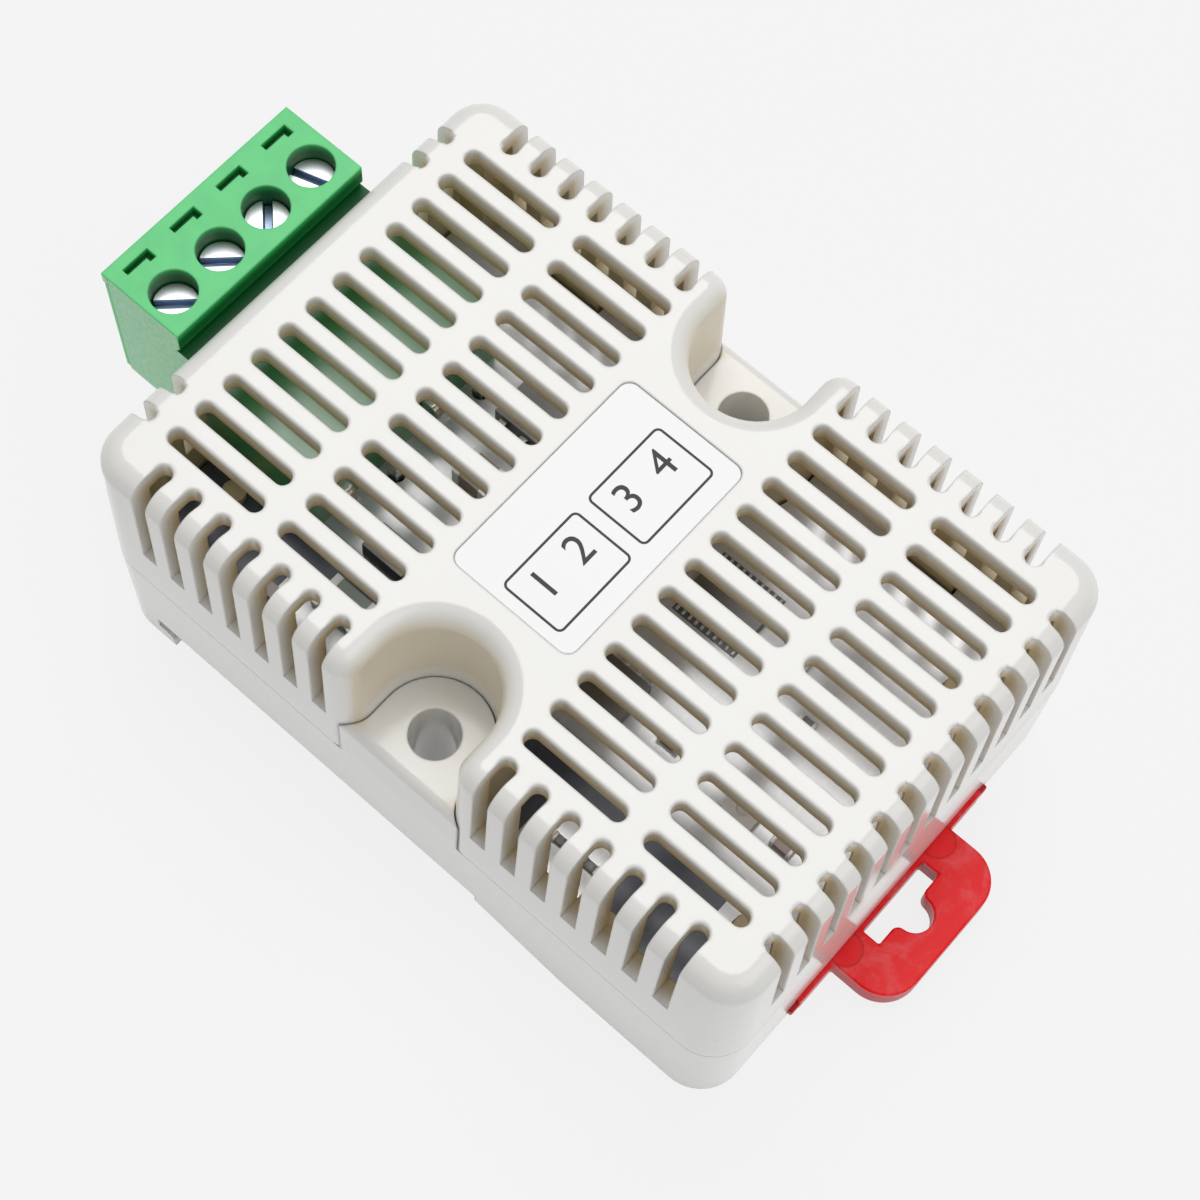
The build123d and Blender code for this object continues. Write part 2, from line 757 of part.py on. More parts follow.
# The plug: a block with a lip on its top, and a nose that enters the header
front_x = plug_x + front_plate
front_top = case_height - front_drop
lip_x = plug_x + plug_lip_depth
ledge_height = case_height - plug_ledge_drop
groove_height = plug_ledge_drop / 4
with BuildPart() as plug_body:
    with BuildSketch(upright(terminal_shift)):
        with BuildLine():
            Polyline(
                (front_x, plug_bottom),
                (front_x, front_top),
                (plug_x, front_top),
                (plug_x, case_height),
                (lip_x, case_height),
                (lip_x, ledge_height),
                (plug_back, ledge_height),
                (plug_back, plug_bottom),
                close=True,
            )
        make_face()
        # two grooves under the lip, with a rib between them
        for step in (0, 2):
            with Locations((lip_x - groove_depth / 2, ledge_height + (step + 1 / 2) * groove_height)):
                Rectangle(groove_depth, groove_height, mode=Mode.SUBTRACT)
    extrude(amount=plug_width / 2, both=True)
    nose_inset = 2 * (header_wall + nose_gap)
    with BuildSketch(crosswise(plug_back)):
        with Locations((terminal_shift, pin_height)):
            Rectangle(header_width - nose_inset, header_height - nose_inset)
    extrude(amount=nose_reach)
    # wells for the screw heads, and the necks that hold the screws
    with BuildSketch(level(case_height)):
        with Locations(*[(screw_x, y) for y in pole_rows]):
            Circle(screw_hole / 2)
    extrude(amount=head_bottom - head_seat_gap - case_height, mode=Mode.SUBTRACT)
    with BuildSketch(level(chamber_top)):
        with Locations(*[(screw_x, y) for y in pole_rows]):
            Circle(shank_radius + running_gap)
    extrude(amount=neck_length, mode=Mode.SUBTRACT)
    # chambers for the clamps, open towards the wires
    with BuildSketch(crosswise(front_x)):
        with Locations(*[(y, (chamber_bottom + chamber_top) / 2) for y in pole_rows]):
            Rectangle(clamp_width + 2 * chamber_side_gap, chamber_top - chamber_bottom)
    extrude(amount=chamber_end - front_x, mode=Mode.SUBTRACT)
    # cavities for the sockets, each with a window at the nose's tip
    with BuildSketch(crosswise(chamber_end)):
        with Locations(*[(y, pin_height) for y in pole_rows]):
            Rectangle(socket_width + 2 * cavity_gap, socket_height + 2 * cavity_gap)
    extrude(amount=socket_end + cavity_gap - chamber_end, mode=Mode.SUBTRACT)
    with BuildSketch(crosswise(socket_end)):
        with Locations(*[(y, pin_height) for y in pole_rows]):
            Rectangle(socket_side + 2 * cavity_gap, socket_side + 2 * cavity_gap)
    extrude(amount=nose_end - socket_end, mode=Mode.SUBTRACT)
    # L-shaped key slots beside the screws
    with BuildSketch(level(case_height)):
        for y in pole_rows:
            with Locations((plug_x + key_inset + key_width / 2, y)):
                Rectangle(key_width, key_leg)
            with Locations((plug_x + key_inset + key_foot / 2, y + (key_leg - key_width) / 2)):
                Rectangle(key_foot, key_width)
    extrude(amount=-key_depth, mode=Mode.SUBTRACT)
save(plug_body.part, "plug_body")

# The thin plate on the plug's wire side, with a funnel for each wire
with BuildPart() as plug_front:
    with BuildSketch(crosswise(plug_x)):
        with Locations((terminal_shift, (plug_bottom + front_top) / 2)):
            Rectangle(plug_width - 2 * front_inset, front_top - plug_bottom)
        with Locations(*[(y, wire_middle) for y in pole_rows]):
            Rectangle(wire_width, wire_height, mode=Mode.SUBTRACT)
    extrude(amount=front_plate)
    window_rims = plug_front.faces().sort_by(Axis.X)[0].inner_wires()
    chamfer([edge for rim in window_rims for edge in rim.edges()], wire_funnel)
save(plug_front.part, "plug_front")

# The plug's contacts: a bar through each clamp, ending in a socket for a pin
bar_x = screw_x - clamp_length / 2 + bar_end_gap
socket_x = socket_end - socket_length
with BuildPart() as plug_contacts:
    with BuildSketch(crosswise(bar_x)):
        with Locations(*[(y, (bar_bottom + bar_top) / 2) for y in pole_rows]):
            Rectangle(bar_width, socket_roof)
    extrude(amount=socket_x + socket_wall - bar_x)
    with BuildSketch(crosswise(socket_x)):
        with Locations(*[(y, pin_height) for y in pole_rows]):
            Rectangle(socket_width, socket_height)
    extrude(amount=socket_length)
    with BuildSketch(crosswise(socket_x)):
        with Locations(*[(y, pin_height) for y in pole_rows]):
            Rectangle(socket_side, socket_side)
    extrude(amount=socket_length, mode=Mode.SUBTRACT)
save(plug_contacts.part, "plug_contacts")

# A slotted screw for each terminal, turned as the last user left it
for pole, y in enumerate(pole_rows):
    with BuildPart() as terminal_screw:
        with BuildSketch(level(head_bottom, screw_x, y)):
            Circle(head_radius)
        extrude(amount=head_height)
        with BuildSketch(level(bar_top + head_seat_gap, screw_x, y)):
            Circle(shank_radius)
        extrude(amount=head_bottom - bar_top - head_seat_gap)
        with BuildSketch(level(head_top, screw_x, y)):
            Rectangle(screw_hole, drive_slot_width, rotation=screw_turns_shares[pole] * full_turn)
        extrude(amount=-drive_slot_depth, mode=Mode.SUBTRACT)
    save(terminal_screw.part, f"terminal_screw_{pole + 1}")

# A clamp ring for each terminal, which its screw lifts against the bar
for pole, y in enumerate(pole_rows):
    with BuildPart() as wire_clamp:
        with BuildSketch(crosswise(screw_x - clamp_length / 2, y)):
            with Locations((0, clamp_bottom + clamp_height / 2)):
                Rectangle(clamp_width, clamp_height)
            with Locations((0, clamp_bottom + (clamp_height + clamp_floor - clamp_top) / 2)):
                Rectangle(
                    clamp_width - 2 * clamp_side,
                    clamp_height - clamp_floor - clamp_top,
                    mode=Mode.SUBTRACT,
                )
        extrude(amount=clamp_length)
        with BuildSketch(level(clamp_bottom + clamp_height, screw_x, y)):
            Circle(shank_radius + running_gap)
        extrude(amount=-clamp_top, mode=Mode.SUBTRACT)
    save(wire_clamp.part, f"wire_clamp_{pole + 1}")
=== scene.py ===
"""Looks of a vented temperature and humidity sensor for a mounting rail.

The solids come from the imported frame. This file softens their edges, gives every surface its
finish, prints the label, and sets the stage. All lengths below are millimetres unless a name
says otherwise; meshes are written in metres.
"""

import math

import bmesh
import bpy
import numpy as np
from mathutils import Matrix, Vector


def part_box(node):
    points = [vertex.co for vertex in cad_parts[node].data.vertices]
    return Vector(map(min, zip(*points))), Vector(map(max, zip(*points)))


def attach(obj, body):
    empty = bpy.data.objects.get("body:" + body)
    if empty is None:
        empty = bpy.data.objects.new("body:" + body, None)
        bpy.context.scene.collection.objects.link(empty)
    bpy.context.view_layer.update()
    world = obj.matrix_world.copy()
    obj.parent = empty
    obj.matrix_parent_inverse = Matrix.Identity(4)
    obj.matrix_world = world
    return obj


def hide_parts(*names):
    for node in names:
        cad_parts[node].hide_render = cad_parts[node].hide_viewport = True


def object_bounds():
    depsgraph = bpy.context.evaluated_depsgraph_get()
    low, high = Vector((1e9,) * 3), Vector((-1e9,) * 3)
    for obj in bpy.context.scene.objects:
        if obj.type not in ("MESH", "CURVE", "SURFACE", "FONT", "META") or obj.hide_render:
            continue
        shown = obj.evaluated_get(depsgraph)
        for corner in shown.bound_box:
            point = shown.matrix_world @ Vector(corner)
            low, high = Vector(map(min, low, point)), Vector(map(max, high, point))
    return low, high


bl_info = {
    "name": "Vented Rail Sensor",
    "version": (1, 0, 0),
    "blender": (4, 5, 0),
    "location": "View3D > Sidebar > Sensor",
    "description": "Finishes, label print and stage for a vented rail sensor",
    "category": "Object",
}

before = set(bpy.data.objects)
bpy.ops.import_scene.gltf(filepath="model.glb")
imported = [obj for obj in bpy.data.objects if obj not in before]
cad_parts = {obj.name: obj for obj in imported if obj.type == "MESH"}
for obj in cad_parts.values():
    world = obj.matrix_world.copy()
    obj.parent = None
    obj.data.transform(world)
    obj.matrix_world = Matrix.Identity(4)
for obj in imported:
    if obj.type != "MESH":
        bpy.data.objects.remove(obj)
cad_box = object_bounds()

MM = 0.001


def in_mm(box):
    """A box's low and high corner, in millimetres."""
    return [corner / MM for corner in box]


# Places read from the frame
base_low, base_high = in_mm(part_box("base_shell"))
label_low, label_high = in_mm(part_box("front_label"))
plug_low, plug_high = in_mm(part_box("plug_body"))
latch_top = in_mm(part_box("rail_latch"))[1].z
case_middle_x = (base_low.x + base_high.x) / 2
case_half_length = (base_high.x - base_low.x) / 2
case_half_width = (base_high.y - base_low.y) / 2
case_top = in_mm(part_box("top_cover"))[1].z

# The case: its seam, its drafted walls, the radii of its upright corners and of its top edge, how
# far its hollow reaches past the straight stretches and where that begins, its ears, and the half
# lengths within which the label's recess lies
seam_height = 12.1
draft_slope = math.tan(math.radians(2))
case_corner = 3.8
case_rounding = 1.9
hollow_corner = 2.7
hollow_low = 13.3
ear_top = 17.8
ear_hole_y = 18.35
label_recess_half = (6.2, 10.4)

# The plug, measured from its front: its lip towards the case, and the joint of the front plate
plug_lip = 8.2
front_joint = 0.6

# The latch's ejector marks: how far beyond the case, how far from its middle, and their radius
ejector_beyond = 0.3
ejector_y = 6.05
ejector_radius = 1.45

# How near a point lies to a worked-out skin that it belongs to
SKIN_GAP = 0.03

# Edges that bend more than this, in radians, are sharp; loose triangles are welded over this gap
SHARP = math.radians(32)
WELD = 0.0005 * MM

# Where the photograph's camera stood, in millimetres, and how it was turned, in degrees
VIEW_PLACE = Vector((46.69, -62.66, 200.34))
VIEW_TURN = (22.186, -2.416, 41.228)
LIGHT_DISTANCE = 700.0


def linear(red, green, blue):
    """A colour given as screen values from 0 to 255, as the linear values that shaders use."""
    shares = np.array([red, green, blue]) / 255
    low = shares / 12.92
    high = ((shares + 0.055) / 1.055) ** 2.4
    return tuple(float(v) for v in np.where(shares <= 0.04045, low, high)) + (1.0,)


def shaded(color, share, lift=0.0):
    """A colour with its red, green and blue times a share, and raised by a lift."""
    return tuple(v * share + lift for v in color[:3]) + (1.0,)


PAPER = linear(246, 246, 246)


# Shader maths


class Signal:
    """A shader socket that can be used in sums. Each operator adds one Math node."""

    def __init__(self, maker, socket):
        self.maker = maker
        self.socket = socket

    def _math(self, operation, *values):
        inputs = dict(enumerate(values))
        return self.maker.node("ShaderNodeMath", {"operation": operation}, inputs)

    def __add__(self, other):
        return self._math("ADD", self, other)

    def __sub__(self, other):
        return self._math("SUBTRACT", self, other)

    def __rsub__(self, other):
        return self._math("SUBTRACT", other, self)

    def __mul__(self, other):
        return self._math("MULTIPLY", self, other)

    def __gt__(self, other):
        return self._math("GREATER_THAN", self, other)

    def __lt__(self, other):
        return self._math("LESS_THAN", self, other)

    def __abs__(self):
        return self._math("ABSOLUTE", self)

    __radd__ = __add__
    __rmul__ = __mul__

    def least(self, other):
        return self._math("MINIMUM", self, other)

    def most(self, other):
        return self._math("MAXIMUM", self, other)

    def root(self):
        return self._math("SQRT", self)

    def wave(self):
        return self._math("SINE", self)

    def within(self, low, high):
        """1 between low and high, and 0 elsewhere."""
        return (self > low) * (self < high)

    def ramp(self, start, end):
        """0 below start, 1 above end, and smooth between them."""
        inputs = {"Value": self, "From Min": start, "From Max": end}
        return self.maker.node("ShaderNodeMapRange", {"interpolation_type": "SMOOTHSTEP"}, inputs)


class Finish:
    """One material under construction, around its Principled shader."""

    def __init__(self, name, **values):
        self.material = bpy.data.materials.new(name)
        self.material.use_nodes = True
        self.nodes = self.material.node_tree.nodes
        self.links = self.material.node_tree.links
        self.surface = self.nodes["Principled BSDF"]
        for socket, value in values.items():
            self.surface.inputs[socket.replace("_", " ")].default_value = value

    def put(self, socket, value):
        """Sets a socket to a value, or links a signal to it."""
        if isinstance(value, Signal):
            self.links.new(value.socket, socket)
        else:
            socket.default_value = value

    def node(self, kind, settings=None, inputs=None, output=0):
        """Makes a node, sets its settings, then its sockets, and gives one of its outputs."""
        made = self.nodes.new(kind)
        for key, value in (settings or {}).items():
            setattr(made, key, value)
        for key, value in (inputs or {}).items():
            self.put(made.inputs[key], value)
        return Signal(self, made.outputs[output])

    def vector(self):
        """The object's own coordinates in millimetres."""
        here = self.node("ShaderNodeTexCoord", output="Object")
        return self.node("ShaderNodeVectorMath", {"operation": "SCALE"}, {0: here, "Scale": 1 / MM})

    def place(self):
        """The object's own coordinates in millimetres, as a vector and as x, y and z."""
        vector = self.vector()
        split = self.nodes.new("ShaderNodeSeparateXYZ")
        self.links.new(vector.socket, split.inputs[0])
        return vector, [Signal(self, output) for output in split.outputs]

    def noise(self, vector, size, detail=2.0, distortion=0.0):
        """Cloudy noise from 0 to 1 whose lumps are about size millimetres wide."""
        inputs = {"Vector": vector, "Scale": 1 / size, "Detail": detail, "Distortion": distortion}
        return self.node("ShaderNodeTexNoise", None, inputs)

    def mix(self, share, first, second):
        """A colour between first and second."""
        settings = {"data_type": "RGBA"}
        return self.node("ShaderNodeMix", settings, {0: share, 6: first, 7: second}, output=2)

    def color(self, value):
        self.put(self.surface.inputs["Base Color"], value)

    def rough(self, value):
        self.put(self.surface.inputs["Roughness"], value)

    def bump(self, height, depth, edge_radius=0.0):
        """Relief of the given depth in millimetres, from a height signal of 0 to 1.

        With an edge radius, the relief lies on edges that shade as rounded.
        """
        inputs = {"Height": height, "Strength": 1.0, "Distance": depth * MM}
        if edge_radius:
            soft = self.node("ShaderNodeBevel", {"samples": 6}, {"Radius": edge_radius * MM})
            inputs["Normal"] = soft
        normal = self.node("ShaderNodeBump", None, inputs)
        self.put(self.surface.inputs["Normal"], normal)


def case_plastic(name, skin, slot_shade, roughness, edge_radius):
    """Off-white moulded plastic with painted shade: it turns beige where light sinks into a slot.

    The depth below the skin is that of a box with round upright corners and a round top edge:
    for each of the two, the radius less the length of what lies past the straight stretches.
    The screw recesses take less of the painted shade, and their floors none.
    """
    finish = Finish(name, IOR=1.5, Specular_IOR_Level=0.6)
    vector, (x, y, z) = finish.place()
    lean = (z.least(case_top - case_rounding) - seam_height).most(0.0) * draft_slope
    past_x = (abs(x - case_middle_x) - (case_half_length - case_corner)).most(0.0)
    past_y = (abs(y) - (case_half_width - case_corner)).most(0.0)
    reach = (past_x * past_x + past_y * past_y).root()
    past_side = (reach + lean - (case_corner - case_rounding)).most(0.0)
    past_z = (z - (case_top - case_rounding)).most(0.0)
    depth = case_rounding - (past_side * past_side + past_z * past_z).root()
    ear_x = x - case_middle_x
    ear_y = abs(y) - ear_hole_y
    from_hole = (ear_x * ear_x + ear_y * ear_y).root()
    ear_wall_shade = (z - ear_top).ramp(0.2, 3.0) * 0.6
    # Painted shade: the colour turns beige with depth in the slots, less in the screw recesses and not on
    # their floors
    shade = depth.ramp(0.15, 1.7) * from_hole.ramp(4.9, 6.2).most(ear_wall_shade)
    cloud = finish.noise(vector, 9.0, detail=3.0)
    tone = finish.mix(cloud, skin, shaded(skin, 0.965))
    finish.color(finish.mix(shade, tone, slot_shade))
    grain = finish.noise(vector, 0.35, detail=4.0)
    finish.rough(roughness + (grain - 0.5) * 0.06 + shade * 0.25)
    finish.bump(grain + finish.noise(vector, 2.6) * 0.8, 0.004, edge_radius)
    return finish.material


def marbled_plastic(name, dark, light):
    """Red plastic with the lighter flow streaks of a cheap moulding, and its ejector pins' marks.

    Its sides have painted shade, darker below its top.
    """
    finish = Finish(name, IOR=1.45, Specular_IOR_Level=0.28)
    vector, (x, y, z) = finish.place()
    flow = finish.noise(vector, 4.5, detail=5.0, distortion=2.2)
    streak = finish.noise(vector, 1.4, detail=3.0, distortion=3.0)
    share = (flow * 0.7 + streak * 0.3).ramp(0.44, 0.7)
    from_x = x - (case_middle_x + case_half_length + ejector_beyond)
    from_y = abs(y) - ejector_y
    reach = (from_x * from_x + from_y * from_y).root()
    tone = finish.mix(share * (1 - (reach < ejector_radius) * 0.8), dark, light)
    rim = (abs(reach - ejector_radius) < 0.1) * 0.4
    # Painted shade: the sides darken below the latch's top
    side = (latch_top - z).ramp(0.15, 0.8) * 0.6
    finish.color(finish.mix(side.most(rim), tone, shaded(dark, 0.35)))
    finish.rough(0.26 + streak * 0.12)
    finish.bump(finish.noise(vector, 0.5, detail=4.0), 0.012)
    return finish.material


def green_plastic(name, face, deep):
    """Green terminal plastic with a fine moulded grain, pale outside, with deep green painted shade in its
    depths.

    The plug's depths are what lies under its top and within its outer faces, and their upper edge
    has painted light. The ledge past the lip has a greener dark painted shade. The lip has a painted
    lighter band and line along it where its filled grooves would catch the light, the plug's ends
    are lighter, and a thin line marks the joint of the front plate.
    """
    finish = Finish(name, IOR=1.5, Specular_IOR_Level=0.4)
    front_skin, band_low, line_middle, line_half = 0.7, 2.5, 2.42, 0.09
    vector, (x, y, z) = finish.place()
    from_front = x - plug_low.x
    from_middle = abs(y - (plug_low.y + plug_high.y) / 2)
    from_top = plug_high.z - z
    end_face = (plug_high.y - plug_low.y) / 2 - SKIN_GAP
    # Painted shade: the depths under the top and within the outer faces take the deep colour
    depths = from_top.ramp(0.05, 0.35) * (from_front > front_skin) * (from_middle < end_face)
    mottle = finish.noise(vector, 1.8, detail=4.0)
    pale = finish.mix(mottle.ramp(0.3, 0.75), face, shaded(face, 0.92))
    # The end faces are given a lighter green
    end_skin = (from_middle > end_face) * from_top.ramp(0.05, 0.3)
    joint = (abs(from_front - front_joint) < 0.05) * end_skin
    speck = finish.noise(vector, 0.5, detail=3.0).ramp(0.35, 0.7)
    lighter_end_tone = finish.mix(speck, linear(186, 240, 200), linear(160, 226, 178))
    pale = finish.mix(end_skin * 0.8, pale, lighter_end_tone)
    # Painted light on the upper edge of the depths
    lit = 1 - from_top.ramp(0.2, 1.1)
    shadow = finish.mix(lit * 0.8, deep, linear(40, 190, 90))
    # Painted shade: a greener dark on the ledge past the lip, in the gap to the case
    ledge = from_front.ramp(plug_lip + 0.02, plug_lip + 0.3)
    shadow = finish.mix(ledge, shadow, linear(4, 92, 40))
    # Painted light: a lighter band and line on the lip where its filled grooves would catch the light
    band = from_top.ramp(1.5, 2.0) * (from_top < band_low) * 0.45
    line = (abs(from_top - line_middle) < line_half) * 0.6
    lip = from_front.within(plug_lip - 0.05, plug_lip + 0.02)
    dark = finish.mix(lip * band.most(line), shadow, linear(36, 176, 80))
    finish.color(finish.mix(depths.most(joint * 0.8), pale, dark))
    finish.rough(0.36 + finish.noise(vector, 0.3, detail=3.0) * 0.12)
    finish.bump(finish.noise(vector, 0.22, detail=4.0), 0.006, 0.22)
    return finish.material


def header_plastic(name, face):
    """The header's smoother green plastic, which mirrors some light under the slots."""
    finish = Finish(name, IOR=2.0, Specular_IOR_Level=1.0)
    vector = finish.vector()
    mottle = finish.noise(vector, 1.5, detail=4.0)
    finish.color(finish.mix(mottle, face, shaded(face, 0.8)))
    finish.rough(0.3 + mottle * 0.1)
    finish.bump(finish.noise(vector, 0.3, detail=4.0), 0.006)
    return finish.material


def bright_metal(name, tone, roughness, grain_size, shade_below=None):
    """Plated metal with fine drawn scratches, and painted shade below a height where one is given."""
    finish = Finish(name, Metallic=1.0, IOR=2.5)
    vector, (_, _, z) = finish.place()
    scratch = finish.noise(vector, grain_size, detail=6.0, distortion=0.4)
    shine = finish.mix(scratch, tone, shaded(tone, 0.88))
    if shade_below is not None:
        # Painted shade below the given height, as in the screws' slots
        depth = (shade_below - z).ramp(0.08, 0.3)
        shine = finish.mix(depth, shine, linear(150, 168, 196))
    finish.color(shine)
    finish.rough(roughness + scratch * 0.1)
    finish.bump(scratch, 0.002)
    return finish.material


def board_lacquer(name, lacquer, trace, pad):
    """Board lacquer with slightly raised tracks and tinned pads, worked out from place.

    Its near-white colour is painted reflection of the pale case, beside its coat's real mirroring, but
    for a dark margin along one side with pale patches of painted reflection in it, and for the dark
    ground under the largest chip's leads; these dark parts show the board's own slate lacquer.
    """
    finish = Finish(name, IOR=1.5, Coat_IOR=3.6, Coat_Roughness=0.18)
    track_pitch, cross_pitch, via_scale = 1.9, 4.3, 0.28
    margin_start, margin_middle, far_patch_x = 10.0, 13.8, 25.9
    near_patches = ((10.3, 18.3), (-17.5, -9.5))
    vector, (x, y, _) = finish.place()
    bend = finish.noise(vector, 7.0, detail=0.0) * 3.0
    lines = ((x + bend) * (2 * math.pi / track_pitch)).wave().ramp(0.82, 0.93)
    cross = ((y + bend) * (2 * math.pi / cross_pitch)).wave().ramp(0.9, 0.96)
    tracks = lines.most(cross)
    spots = finish.node("ShaderNodeTexVoronoi", None, {"Vector": vector, "Scale": via_scale})
    vias = 1 - spots.ramp(0.1, 0.13)
    # Painted reflection: the near-white lacquer colour stands for the pale case mirrored in the board
    base = finish.mix(tracks * 0.6, lacquer, trace)
    low_side = y * -1
    outer = low_side > margin_middle
    near_ears = x.within(*near_patches[0]).most(x.within(*near_patches[1]))
    # Pale patches of painted reflection in the dark margin
    reflection_patch = (near_ears * outer).most((x > far_patch_x) * (1 - outer))
    chip_low, chip_high = in_mm(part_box("microcontroller"))
    under_leads = x.within(chip_low.x, chip_high.x) * y.within(chip_low.y - 0.1, chip_high.y + 0.1)
    side = low_side.ramp(margin_start - 0.3, margin_start + 0.3)
    margin = (side * (1 - reflection_patch)).most(under_leads * 0.9)
    slate = finish.mix(finish.noise(vector, 1.2, detail=3.0), linear(40, 50, 80), linear(74, 84, 108))
    finish.color(finish.mix(margin * 0.96, finish.mix(vias, base, pad), slate))
    finish.put(finish.surface.inputs["Coat Weight"], 1 - margin * 0.9)
    finish.rough(0.26 + finish.noise(vector, 0.6, detail=3.0) * 0.1)
    finish.bump(tracks * 0.6 + vias, 0.01)
    return finish.material


def mould_compound(name, tone):
    """Chip compound or ceramic with the fine grit of its mould."""
    finish = Finish(name, IOR=2.2, Specular_IOR_Level=1.0)
    grit = finish.noise(finish.vector(), 0.12, detail=3.0)
    finish.color(finish.mix(grit, tone, shaded(tone, 1.5, 0.004)))
    finish.rough(0.34 + grit * 0.12)
    finish.bump(grit, 0.004)
    return finish.material


def label_film(name, tone):
    """White film with a fine grain."""
    finish = Finish(name, IOR=1.5)
    fibre = finish.noise(finish.vector(), 0.5, detail=4.0)
    finish.color(finish.mix(fibre * 0.5, tone, shaded(tone, 0.985)))
    finish.rough(0.3 + fibre * 0.04)
    finish.bump(fibre, 0.0005)
    return finish.material


def print_ink(name, tone):
    """Dark label ink, a little uneven."""
    finish = Finish(name, IOR=1.5)
    speckle = finish.noise(finish.vector(), 0.2, detail=4.0)
    finish.color(finish.mix(speckle * 0.6, tone, shaded(tone, 1.6, 0.01)))
    finish.rough(0.4 + speckle * 0.1)
    finish.bump(speckle, 0.002)
    return finish.material


# Mesh building


def link_mesh(name, mesh):
    """An object at the origin that holds the mesh."""
    piece = bpy.data.objects.new(name, mesh)
    bpy.context.scene.collection.objects.link(piece)
    return piece


def merge(work, flat_angle=0.6):
    """Welds a mesh's loose triangles and joins its flats, up to an angle in degrees."""
    bmesh.ops.remove_doubles(work, verts=work.verts, dist=WELD)
    bmesh.ops.dissolve_limit(work, angle_limit=math.radians(flat_angle), verts=work.verts, edges=work.edges)


def merged_copy(node, flat_angle=0.6):
    """A CAD node's mesh as a bmesh, with its loose triangles merged and its flats in one piece."""
    work = bmesh.new()
    work.from_mesh(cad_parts[node].data)
    merge(work, flat_angle)
    return work


def stand_in(piece, node, body):
    """Shades the piece evenly. It rides on the body and stands for the node."""
    weigh = piece.modifiers.new("Even shading", "WEIGHTED_NORMAL")
    weigh.keep_sharp = True
    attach(piece, body)
    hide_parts(node)
    return piece


def inward(loop):
    """The level direction from an edge of an upward face into that face."""
    along = loop.link_loop_next.vert.co - loop.vert.co
    return Vector((-along.y, along.x, 0.0)).normalized()


def round_rims(work, flat, radius, spared):
    """Rounds the rims of the openings in a flat top, in place, and fills the flat again.

    Each rim gets two rings of faces. With the rim a radius lower and the ring between them 0.29
    of it lower, its section is a quarter circle. An edge that is already round keeps its place,
    and so does a rim within the spared half lengths of the middle.
    """
    share = 1 - math.sqrt(0.5)
    tightest_bend = 0.6
    rims = [loop for face in flat for loop in face.loops if sum(f in flat for f in loop.edge.link_faces) == 1]
    ways, sharp = {}, {}
    for loop in rims:
        for corner in loop.edge.verts:
            ways.setdefault(corner, []).append(inward(loop))
            sharp[corner] = sharp.get(corner, True) and loop.edge.calc_face_angle(0.0) > SHARP
    rings = {}
    for corner, pair in ways.items():
        near_x = abs(corner.co.x / MM - case_middle_x) < spared[0]
        if not sharp[corner] or (near_x and abs(corner.co.y / MM) < spared[1]):
            rings[corner] = (corner, corner, corner)
            continue
        way = sum(pair, Vector()).normalized()
        reach = radius * MM / max(way.dot(pair[0]), tightest_bend)
        middle = work.verts.new(corner.co + way * reach * share - Vector((0, 0, radius * share * MM)))
        inner = work.verts.new(corner.co + way * reach)
        rings[corner] = (corner, middle, inner)
    pairs = [(loop.vert, loop.link_loop_next.vert) for loop in rims]
    inside = [edge for edge in work.edges if edge.link_faces and all(f in flat for f in edge.link_faces)]
    bmesh.ops.delete(work, geom=list(flat), context="FACES_ONLY")
    bmesh.ops.delete(work, geom=inside, context="EDGES")
    for first, second in pairs:
        for step in (0, 1):
            quad = [rings[first][step], rings[second][step], rings[second][step + 1], rings[first][step + 1]]
            corners = list(dict.fromkeys(quad))
            if len(corners) > 2:
                work.faces.new(corners)
    border = []
    for first, second in pairs:
        ends = (rings[first][2], rings[second][2])
        border.append(work.edges.get(ends) or work.edges.new(ends))
    fill = {"use_beauty": True, "use_dissolve": False, "edges": border, "normal": (0, 0, 1)}
    bmesh.ops.triangle_fill(work, **fill)
    for corner, ring in rings.items():
        if ring[1] is not corner:
            corner.co.z -= radius * MM


def close_corners(work):
    """Closes the slits where the hollow's square corners come through the skin's round ones.

    The slits' rims lie in the planes of the hollow's walls. Each goes to the line halfway round
    its corner, on the skin, and so does what lies between their lower ends.
    """
    plane_gap, end_height, end_half, weld_gap = 0.004, 0.2, 0.1, 0.01
    ends = []
    for corner in work.verts:
        x, y, z = corner.co / MM
        out_x = abs(x - case_middle_x) - (case_half_length - case_corner)
        out_y = abs(y) - (case_half_width - case_corner)
        radius = case_corner - (z - seam_height) * draft_slope
        in_wall = min(abs(out_x - hollow_corner), abs(out_y - hollow_corner)) < plane_gap
        between = z < hollow_low + end_height and abs(out_x - out_y) < end_half
        upright = min(out_x, out_y) > 0 and hollow_low < z < case_top - case_rounding + 0.01
        if (in_wall or between) and upright and math.hypot(out_x, out_y) > radius - SKIN_GAP:
            halfway = radius * math.sqrt(0.5)
            corner.co.x += (halfway - out_x) * math.copysign(MM, x - case_middle_x)
            corner.co.y += (halfway - out_y) * math.copysign(MM, y)
            if between:
                ends.append(corner)
    bmesh.ops.remove_doubles(work, verts=ends, dist=weld_gap * MM)


